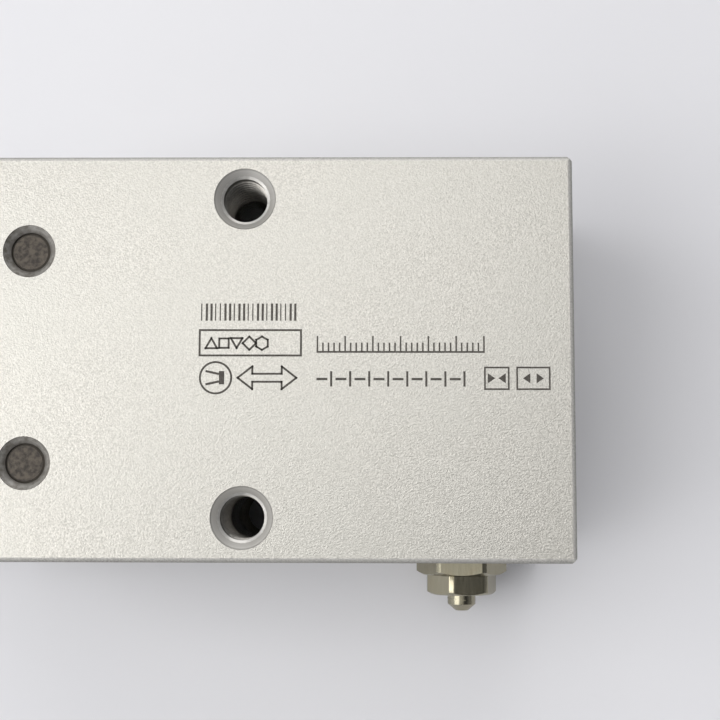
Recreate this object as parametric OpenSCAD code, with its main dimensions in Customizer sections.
// Double-acting angular gripper with a 16 mm piston, in millimetres.
// The piston axis is X: the rear mounting face is the plane x = 0 and the fingers point to -X.
// Z is up, square to the two broad faces, and the air ports open on the -Y side.
// The fingers are drawn parallel. They swing 10 degrees inwards and 30 degrees outwards.

/* [Body] */
// Length of the body along the piston axis
body_l = 46.5; // [46.5:0.5:50]
// Width of the body across the two fingers
body_w = 30.6; // [30.2:0.2:34]
// Thickness of the body between its broad faces
body_t = 23.6; // [23:0.2:26]
// Chamfer on the outer edges of the body
edge_chamfer = 0.35; // [0.1:0.05:0.5]
// Width of the slot that holds the fingers
slot_w = 8.1; // [8.06:0.02:8.3]

/* [Mounting holes] */
// Distance from the rear face to the two through holes
mount_x = 24.8; // [24.5:0.1:26]
// Spacing of the through holes, and of the rear threads
mount_pitch = 24; // [23.8:0.1:24.4]
// Diameter of the through holes
mount_d = 3.4; // [3.2:0.1:3.6]
// Diameter of the countersink on the through holes
mount_sink_d = 4.7; // [4:0.1:5]
// Tapping diameter of the rear M4 threads
rear_thread_d = 3.3; // [3.2:0.1:3.4]
// Diameter of the pilot recess in the rear face
pilot_d = 17; // [16.8:0.1:17.2]

/* [Fingers] */
// Distance from the rear face to the pivot pins
pin_x = 41.1; // [41:0.1:42]
// Spacing of the two pivot pins
pin_pitch = 16; // [15.8:0.1:16.4]
// Diameter of the pivot pins
pin_d = 3; // [2.8:0.1:3.2]
// Reach of a finger from its pivot to its tip
finger_reach = 21.4; // [19:0.2:30]
// Thickness of a finger, along Z
finger_t = 8; // [7.5:0.1:8]
// Height of a finger, from its inner to its outer face
finger_h = 5; // [4.5:0.1:5.4]
// Spacing of the two attachment threads in a finger
pad_pitch = 7; // [6:0.5:8]
// Distance between a pivot and the ball of its lever tail
lever_r = 5.2; // [5.1:0.05:5.25]

/* [Cylinder] */
// Bore of the cylinder
bore_d = 16; // [15.8:0.1:16.2]
// Diameter of the piston rod
rod_d = 7; // [6.9:0.1:7.1]
// Tapping diameter of the M5 air ports
port_d = 4.2; // [4.1:0.1:4.3]
// Height of the air ports above the piston axis, and depth of the needle valve below it
port_z = 7; // [6.6:0.1:7.2]
// Distance from the rear face to the rear port and the needle valve
valve_x = 7.4; // [7.4:0.1:7.8]

/* [Needle valve] */
// Width across the flats of the valve sleeve
sleeve_af = 7; // [6.5:0.5:7]
// Width across the flats of the lock nut
nut_af = 5.5; // [4.5:0.5:5.5]
// Thread diameter of the needle
needle_d = 2.5; // [2.4:0.1:2.6]

/* [Hidden] */
$fn = 64;
over = 1; // how far a cutting tool runs past a face
lap = 0.2; // how far one cut runs into the next

// Lever mechanism. The tail leans rearwards by the middle of the swing, so that the piston
// moves nearly in proportion to the finger's angle.
swing_open = 30;
swing_closed = 10;
tail_lean = (swing_open - swing_closed) / 2;
tail_r = 1.25;
tail_x = -pin_x + lever_r * sin(tail_lean);
tail_y = pin_pitch / 2 - lever_r * cos(tail_lean);
tail_clear = 0.04;
hub_r = 4;
finger_outer_y = pin_pitch / 2 + hub_r - 0.2;
half_swing = (swing_open + swing_closed) / 2;
stroke_per_deg = 2 * lever_r * sin(half_swing) / (2 * half_swing);
travel_rear = stroke_per_deg * swing_closed;
travel_front = stroke_per_deg * swing_open;
hub_clear = 0.6;
slot_floor_x = -pin_x + hub_r + hub_clear;

// Cylinder, from the rear face forwards
cap_seat_depth = 6.6;
cap_t = 3.9;
cap_front_x = -cap_seat_depth;
ring_x = -1.65;
ring_t = 1;
ring_play = 0.05;
ring_groove_d = pilot_d + 0.9;
bumper_proud = 0.4;
bumper_seat = 0.6;
bumper_r = 4.5;
bumper_clear = 0.05;
stop_gap = 0.02;
piston_l = 9;
piston_rear_x = cap_front_x - bumper_proud - stop_gap - travel_rear;
chamber_end_x = piston_rear_x - piston_l - travel_front - stop_gap - bumper_proud;
gland_d = 11;
gland_l = 2.6;
fit_clear = 0.03;
seal_clear = 0.02;

// Piston, measured forwards from its own rear face
land_d = bore_d - 0.3;
magnet_u = [1.6, 4.65];
magnet_floor_d = 12;
seal_u = [5.4, 7.4];
seal_floor_d = 12.6;
fork_u = -tail_x + piston_rear_x;
fork_half = tail_r + tail_clear;
neck_r = 1.35;
head_t = 1.7;

// Air passages on the -Y side
side_y = -body_w / 2;
front_port_x = chamber_end_x + 1.2;
port_depth = 4.5;
port_sink = 0.5;
passage_r = 0.7;
cross_r = 0.7;
cross_y = side_y + 4.6;
ball_r = 1;
ball_seat_depth = 2.2;

// Needle valve. Heights are measured out of the side face.
sleeve_head_h = 1.9;
sleeve_turn = 3.5;
sleeve_r = 2.45;
sleeve_depth = 3.4;
sleeve_ring_r = 0.34;
collar_space_r = 1.5;
collar_r = collar_space_r - 0.05;
shoulder_h = -0.7;
nut_h = 1.7;
nut_turn = -10;
needle_out_h = 5;
needle_tip_h = -5.7;
needle_ring_h = -2.3;
needle_ring_r = 0.3;
needle_ring_floor = 0.85;
valve_chamber_h = -5;
valve_chamber_r = 1.7;

module octagon(a, b, c)
    polygon([[c, 0], [a - c, 0], [a, c], [a, b - c], [a - c, b], [c, b], [0, b - c], [0, c]]);

// A block with one corner at the origin and every edge chamfered by c.
module chamfered_block(l, w, t, c)
    intersection() {
        linear_extrude(t) octagon(l, w, c);
        translate([0, w, 0]) rotate([90, 0, 0]) linear_extrude(w) octagon(l, t, c);
        rotate([90, 0, 90]) linear_extrude(l) octagon(w, t, c);
    }

// A disc on the plane z = 0 with both rims chamfered by c.
module chamfered_disc(r, h, c)
    rotate_extrude() polygon([[0, 0], [r - c, 0], [r, c], [r, h - c], [r - c, h], [0, h]]);

// A round hole along X from x0 to x1.
module hole_x(x0, x1, r)
    translate([x0, 0, 0]) rotate([0, 90, 0]) cylinder(r = r, h = x1 - x0);

// Puts a shape drawn around +Z on the side face at x, z, with its +Z out of that face.
module on_side(x, z)
    translate([x, side_y, z]) rotate([90, 0, 0]) children();

// Turns a shape drawn on the upper side, +Z, over to the lower side when side is -1.
module to_side(side)
    mirror([0, 0, side < 0 ? 1 : 0]) children();

// A hole through the body along Z with a 45 degree countersink at each face.
module sunk_hole_z(r, sink_r) {
    sink = sink_r - r;
    translate([0, 0, -body_t / 2 - over]) cylinder(r = r, h = body_t + 2 * over);
    for (side = [-1, 1])
        to_side(side)
            translate([0, 0, body_t / 2 - sink]) cylinder(r1 = r, r2 = sink_r + over, h = sink + over);
}

// A blind hole that opens at z = 0 and runs to -depth, with a 118 degree drill point.
module drilled(r, depth, sink) {
    point_h = r / tan(59);
    translate([0, 0, -depth]) cylinder(r = r, h = depth + over);
    translate([0, 0, -depth - point_h]) cylinder(r1 = 0, r2 = r, h = point_h);
    translate([0, 0, -sink]) cylinder(r1 = r, r2 = r + sink + over, h = sink + over);
}

// A round groove with a narrower mouth, for a position switch, along X in the +Y face.
module switch_groove(side) {
    z = side * 6;
    groove_l = 21;
    groove_r = 2.1;
    lip = 0.25;
    mouth_w = 2.9;
    centre_y = body_w / 2 - lip - groove_r;
    translate([0, centre_y, z]) hole_x(-groove_l, over, groove_r);
    translate([-groove_l + groove_r, centre_y, z - mouth_w / 2])
        cube([groove_l - groove_r + over, body_w, mouth_w]);
}

module bore_tools() {
    hole_x(-cap_seat_depth, over, pilot_d / 2);
    hole_x(ring_x - ring_t - ring_play, ring_x + ring_play, ring_groove_d / 2);
    hole_x(chamber_end_x, 0, bore_d / 2);
    hole_x(chamber_end_x - gland_l, 0, gland_d / 2);
    hole_x(-body_l, 0, rod_d / 2 + fit_clear);
}

// A small drilling from inside the cylinder out to a height below the side face.
module cylinder_passage(h) {
    inside_y = -bore_d / 8;
    translate([0, 0, side_y - inside_y]) cylinder(r = passage_r, h = h - side_y + inside_y);
}

module air_tools() {
    ring_seat_depth = 0.7;
    ring_seat_r = sleeve_r + 2 * sleeve_ring_r + 0.07;
    on_side(-valve_x, port_z) drilled(port_d / 2, port_depth, port_sink);
    on_side(front_port_x, port_z) {
        drilled(port_d / 2, port_depth, port_sink);
        cylinder_passage(-port_depth);
    }
    on_side(-valve_x, -port_z) {
        translate([0, 0, -sleeve_depth]) cylinder(r = sleeve_r, h = sleeve_depth + over);
        translate([0, 0, -ring_seat_depth]) cylinder(r = ring_seat_r, h = ring_seat_depth + over);
        translate([0, 0, valve_chamber_h])
            cylinder(r = valve_chamber_r, h = lap - valve_chamber_h - sleeve_depth);
        cylinder_passage(valve_chamber_h + lap);
    }
    translate([-valve_x, cross_y, -body_t / 2 - over]) {
        cylinder(r = cross_r, h = body_t / 2 + port_z);
        cylinder(r = ball_r, h = ball_seat_depth + over);
    }
}

module body_block() {
    pin_sink = 0.5;
    rear_thread_depth = 6;
    rear_thread_sink = 0.4;
    color("#d9d6cc") difference() {
        translate([-body_l, -body_w / 2, -body_t / 2])
            chamfered_block(body_l, body_w, body_t, edge_chamfer);
        bore_tools();
        air_tools();
        translate([-body_l - over, -body_w / 2 - over, -slot_w / 2])
            cube([body_l + over + slot_floor_x, body_w + 2 * over, slot_w]);
        for (side = [-1, 1]) {
            translate([-mount_x, side * mount_pitch / 2, 0])
                sunk_hole_z(mount_d / 2, mount_sink_d / 2);
            translate([-pin_x, side * pin_pitch / 2, 0])
                sunk_hole_z(pin_d / 2, pin_d / 2 + pin_sink);
            translate([0, side * mount_pitch / 2, 0]) rotate([0, 90, 0])
                drilled(rear_thread_d / 2, rear_thread_depth, rear_thread_sink);
            switch_groove(side);
        }
    }
}

// The cap has a pocket for the bumper in front, and a dish with a puller hole behind.
module rear_cap() {
    cap_r = pilot_d / 2 - fit_clear;
    groove_r = cap_r - 1.2;
    groove = [0.85, 2.75];
    front_bevel = 0.2;
    back_bevel = 0.3;
    dish_r = 4;
    dish_floor = cap_t - 0.9;
    dish_taper = 0.4;
    puller_hole_r = 1.25;
    puller_hole_floor = cap_t - 2.4;
    color("#b9bbbd") translate([cap_front_x, 0, 0]) rotate([0, 90, 0]) difference() {
        rotate_extrude() polygon([
            [0, bumper_seat], [bumper_r, bumper_seat], [bumper_r, 0], [cap_r - front_bevel, 0],
            [cap_r, front_bevel], [cap_r, groove[0]], [groove_r, groove[0]],
            [groove_r, groove[1]], [cap_r, groove[1]], [cap_r, cap_t - back_bevel],
            [cap_r - back_bevel, cap_t], [dish_r, cap_t], [dish_r - dish_taper, dish_floor],
            [0, dish_floor]
        ]);
        translate([0, 0, puller_hole_floor]) cylinder(r = puller_hole_r, h = cap_t);
    }
}

module cap_o_ring() {
    section_r = 0.58;
    groove_middle = 1.8;
    color("#1c1c1e") translate([cap_front_x + groove_middle, 0, 0]) rotate([0, 90, 0])
        rotate_extrude() translate([pilot_d / 2 - section_r - seal_clear, 0]) circle(r = section_r);
}

// The ring is open at the bottom, between two lugs with plier holes.
module retaining_ring() {
    ring_r = ring_groove_d / 2 - ring_play;
    inner_r = ring_r - 1.35;
    inner_shift = 0.45; // the ring is narrowest at its open end
    lug_at = [2.2, -6.7];
    lug_r = 1.6;
    plier_hole_r = 0.8;
    gap_w = 1.6;
    color("#4b4a48") translate([ring_x - ring_t, 0, 0]) rotate([90, 0, 90])
        linear_extrude(ring_t) difference() {
            union() {
                difference() {
                    circle(r = ring_r);
                    translate([0, -inner_shift]) circle(r = inner_r);
                }
                for (side = [-1, 1])
                    translate([side * lug_at[0], lug_at[1]]) circle(r = lug_r);
            }
            translate([-gap_w / 2, -ring_r - over]) square([gap_w, ring_r / 2]);
            for (side = [-1, 1])
                translate([side * lug_at[0], lug_at[1]]) circle(r = plier_hole_r);
        }
}

module rear_bumper() {
    bevel = 0.2;
    color("#a8742c") translate([cap_front_x - bumper_proud, 0, 0]) rotate([0, 90, 0])
        chamfered_disc(bumper_r - bumper_clear, bumper_proud + bumper_seat, bevel);
}

// A washer in the rod seal's gland. It also keeps the seal in.
module front_bumper() {
    rim = gland_d / 2 - bumper_clear;
    hole = rod_d / 2 + 0.25;
    h = bumper_proud + 0.65;
    bevel = 0.2;
    color("#a8742c") translate([chamber_end_x + bumper_proud, 0, 0]) rotate([0, -90, 0])
        rotate_extrude() polygon([
            [hole + bevel, 0], [rim - bevel, 0], [rim, bevel], [rim, h], [hole, h], [hole, bevel]
        ]);
}

// The lips of the rod seal face the cylinder.
module rod_seal() {
    inner = rod_d / 2 + seal_clear;
    outer = gland_d / 2;
    middle = (inner + outer) / 2;
    h = 1.9;
    heel = 0.15;
    heel_h = 0.4;
    lip_root_h = 0.9;
    lip_gap = 0.3;
    color("#1c1c1e") translate([chamber_end_x - gland_l, 0, 0]) rotate([0, 90, 0])
        rotate_extrude() polygon([
            [inner + heel, 0], [outer - heel, 0], [outer, heel_h], [outer, h],
            [middle + lip_gap, h], [middle, lip_root_h], [middle - lip_gap, h], [inner, h],
            [inner, heel_h]
        ]);
}

// The pins end below the two broad faces.
module pivot_pin() {
    recess = 0.55;
    pin_l = body_t - 2 * recess;
    end_bevel = 0.2;
    color("#6a645c") translate([-pin_x, pin_pitch / 2, -pin_l / 2])
        chamfered_disc(pin_d / 2, pin_l, end_bevel);
}

module pivot_pin_upper() pivot_pin();

module pivot_pin_lower() mirror([0, 1, 0]) pivot_pin();

// A ball pressed into the end of the cross drilling closes it.
module passage_ball() {
    recess = 0.2;
    color("#8d8f92") translate([-valve_x, cross_y, -body_t / 2 + ball_r + recess])
        sphere(r = ball_r);
}

// A hexagon from z = 0 to z = h. Its corners are turned down to narrow lands, and its top
// face is turned to a cone that just misses the flats.
module hexagon(af, h) {
    corner_r = af / sqrt(3);
    land_r = corner_r - 0.12;
    top_r = af / 2 - 0.1;
    cone_h = (land_r - top_r) * tan(30);
    intersection() {
        cylinder(r = corner_r, h = h, $fn = 6);
        rotate_extrude() polygon([[0, 0], [land_r, 0], [land_r, h - cone_h], [top_r, h], [0, h]]);
    }
}

// The sleeve is pressed in the body. The needle's thread runs in its outer half.
module valve_sleeve() {
    bore_h = sleeve_depth + shoulder_h;
    stem_l = sleeve_depth + lap;
    color("#b4ae9f") on_side(-valve_x, -port_z) difference() {
        union() {
            rotate([0, 0, sleeve_turn]) hexagon(sleeve_af, sleeve_head_h);
            translate([0, 0, -sleeve_depth]) cylinder(r = sleeve_r, h = stem_l);
        }
        translate([0, 0, -sleeve_depth - over]) cylinder(r = collar_space_r, h = bore_h + over);
        translate([0, 0, -sleeve_depth])
            cylinder(r = needle_d / 2, h = sleeve_depth + sleeve_head_h + over);
    }
}

module sleeve_o_ring() {
    color("#1c1c1e") on_side(-valve_x, -port_z) translate([0, 0, -sleeve_ring_r])
        rotate_extrude() translate([sleeve_r + sleeve_ring_r, 0]) circle(r = sleeve_ring_r);
}

module lock_nut() {
    color("#a39a80") on_side(-valve_x, -port_z) translate([0, 0, sleeve_head_h])
        rotate([0, 0, nut_turn]) difference() {
            hexagon(nut_af, nut_h);
            translate([0, 0, -over]) cylinder(r = needle_d / 2, h = nut_h + 2 * over);
        }
}

// The needle stands one turn open. Its collar stops it at the shoulder inside the sleeve.
module valve_needle() {
    thread_r = needle_d / 2 - fit_clear;
    thread_foot_h = needle_ring_h + 0.6;
    groove = [needle_ring_h - 0.35, needle_ring_h + 0.35];
    collar_foot_h = groove[0] - 0.3;
    tip_r = 0.1;
    stem_r = 0.7;
    cone_h = 1.2;
    nose_r = 0.6;
    nose_h = 0.55;
    screw_slot_w = 0.5;
    screw_slot_h = 0.8;
    screw_slot_turn = 90;
    color("#c3bda9") on_side(-valve_x, -port_z) difference() {
        rotate_extrude() polygon([
            [0, needle_tip_h], [tip_r, needle_tip_h], [stem_r, needle_tip_h + cone_h],
            [stem_r, collar_foot_h], [collar_r, collar_foot_h], [collar_r, groove[0]],
            [needle_ring_floor, groove[0]], [needle_ring_floor, groove[1]],
            [collar_r, groove[1]], [collar_r, thread_foot_h], [thread_r, thread_foot_h],
            [thread_r, needle_out_h - nose_h], [nose_r, needle_out_h], [0, needle_out_h]
        ]);
        rotate([0, 0, screw_slot_turn])
            translate([-screw_slot_w / 2, -needle_d, needle_out_h - screw_slot_h])
                cube([screw_slot_w, 2 * needle_d, screw_slot_h + over]);
    }
}

module needle_o_ring() {
    stretch = 0.01;
    color("#1c1c1e") on_side(-valve_x, -port_z) translate([0, 0, needle_ring_h])
        rotate_extrude() translate([needle_ring_floor + stretch + needle_ring_r, 0])
            circle(r = needle_ring_r);
}

// The piston is one piece with its rod. The groove near the rod's end drives the fingers.
module piston() {
    land_r = land_d / 2;
    rod_r = rod_d / 2;
    head_u = fork_u + fork_half + head_t;
    hollow_r = 2.2;
    hollow_u = 10;
    drill_point = 1;
    bevel = 0.4;
    color("#c4c6c8") translate([piston_rear_x, 0, 0]) rotate([0, -90, 0])
        rotate_extrude() polygon([
            [0, hollow_u + drill_point], [hollow_r, hollow_u], [hollow_r, 0],
            [land_r - bevel, 0], [land_r, bevel],
            [land_r, magnet_u[0]], [magnet_floor_d / 2, magnet_u[0]],
            [magnet_floor_d / 2, magnet_u[1]], [land_r, magnet_u[1]],
            [land_r, seal_u[0]], [seal_floor_d / 2, seal_u[0]],
            [seal_floor_d / 2, seal_u[1]], [land_r, seal_u[1]],
            [land_r, piston_l - bevel], [land_r - bevel, piston_l], [rod_r, piston_l],
            [rod_r, fork_u - fork_half], [neck_r, fork_u - fork_half],
            [neck_r, fork_u + fork_half], [rod_r, fork_u + fork_half],
            [rod_r, head_u - bevel], [rod_r - bevel, head_u], [0, head_u]
        ]);
}

// A lip seal that opens towards the front chamber.
module piston_seal() {
    inner = seal_floor_d / 2;
    outer = bore_d / 2 - seal_clear;
    u0 = seal_u[0] + 0.05;
    u1 = seal_u[1] - 0.1;
    heel = 0.3;
    edge = 0.1;
    lip_t = 0.5;
    inner_lip_t = 0.4;
    root = [inner + 0.75, u0 + 0.8];
    color("#1c1c1e") translate([piston_rear_x, 0, 0]) rotate([0, -90, 0])
        rotate_extrude() polygon([
            [inner, u0], [outer - heel, u0], [outer - edge, u0 + heel], [outer, u1 - heel],
            [outer - edge, u1], [outer - lip_t, u1], root, [inner + inner_lip_t, u1], [inner, u1]
        ]);
}

module piston_magnet() {
    inner = magnet_floor_d / 2;
    outer = land_d / 2 - 0.15;
    u0 = magnet_u[0] + seal_clear;
    u1 = magnet_u[1] - seal_clear;
    color("#3a3836") translate([piston_rear_x, 0, 0]) rotate([0, -90, 0])
        rotate_extrude() polygon([[inner, u0], [outer, u0], [outer, u1], [inner, u1]]);
}

// A flat piece of the finger, cut from an outline in the plane of the two fingers.
module finger_plate()
    translate([0, 0, -finger_t / 2]) linear_extrude(finger_t) children();

// The upper finger without its holes: a hub on the pivot pin, a tail with a round end
// that the piston rod drives, a bar for an attachment, and a brace under the bar.
module finger_blank() {
    pivot_y = pin_pitch / 2;
    inner_y = finger_outer_y - finger_h;
    link_w = 1.9;
    brace_start = [-pin_x, pivot_y - 1];
    brace_foot = [-pin_x - 2.3, pivot_y - 2.5];
    brace_end = [-pin_x - 6.4, inner_y];
    tip_x = -pin_x - finger_reach;
    tip_bevel = 0.5;
    finger_plate() translate([-pin_x, pivot_y]) circle(r = hub_r);
    finger_plate() translate([tail_x, tail_y]) circle(r = tail_r);
    finger_plate() translate([-pin_x, pivot_y]) rotate(tail_lean)
        translate([-link_w / 2, -lever_r]) square([link_w, lever_r]);
    finger_plate() polygon([
        brace_start, brace_foot, brace_end, [tip_x + tip_bevel, inner_y], [tip_x, inner_y + tip_bevel],
        [tip_x, finger_outer_y - tip_bevel], [tip_x + tip_bevel, finger_outer_y],
        [-pin_x, finger_outer_y]
    ]);
}

// A through thread at z = 0 to -depth, with a 45 degree sink at each end.
module through_thread(r, depth, sink) {
    translate([0, 0, -depth - over]) cylinder(r = r, h = depth + 2 * over);
    translate([0, 0, -sink]) cylinder(r1 = r, r2 = r + 2 * sink, h = 2 * sink);
    translate([0, 0, -depth - sink]) cylinder(r1 = r + 2 * sink, r2 = r, h = 2 * sink);
}

module finger() {
    thread_r = 1.25;
    thread_sink = 0.3;
    tip_to_thread = 3.5;
    first_x = -pin_x - finger_reach + tip_to_thread;
    difference() {
        finger_blank();
        translate([-pin_x, pin_pitch / 2, -finger_t])
            cylinder(r = pin_d / 2 + fit_clear, h = 2 * finger_t);
        for (i = [0, 1])
            translate([first_x + i * pad_pitch, finger_outer_y, 0]) rotate([-90, 0, 0])
                through_thread(thread_r, finger_h, thread_sink);
    }
}

module finger_upper() color("#8f9194") finger();

module finger_lower() color("#8f9194") mirror([0, 1, 0]) finger();

body_block();
rear_cap();
cap_o_ring();
retaining_ring();
rear_bumper();
front_bumper();
rod_seal();
pivot_pin_upper();
pivot_pin_lower();
passage_ball();
valve_sleeve();
sleeve_o_ring();
lock_nut();
valve_needle();
needle_o_ring();
piston();
piston_seal();
piston_magnet();
finger_upper();
finger_lower();
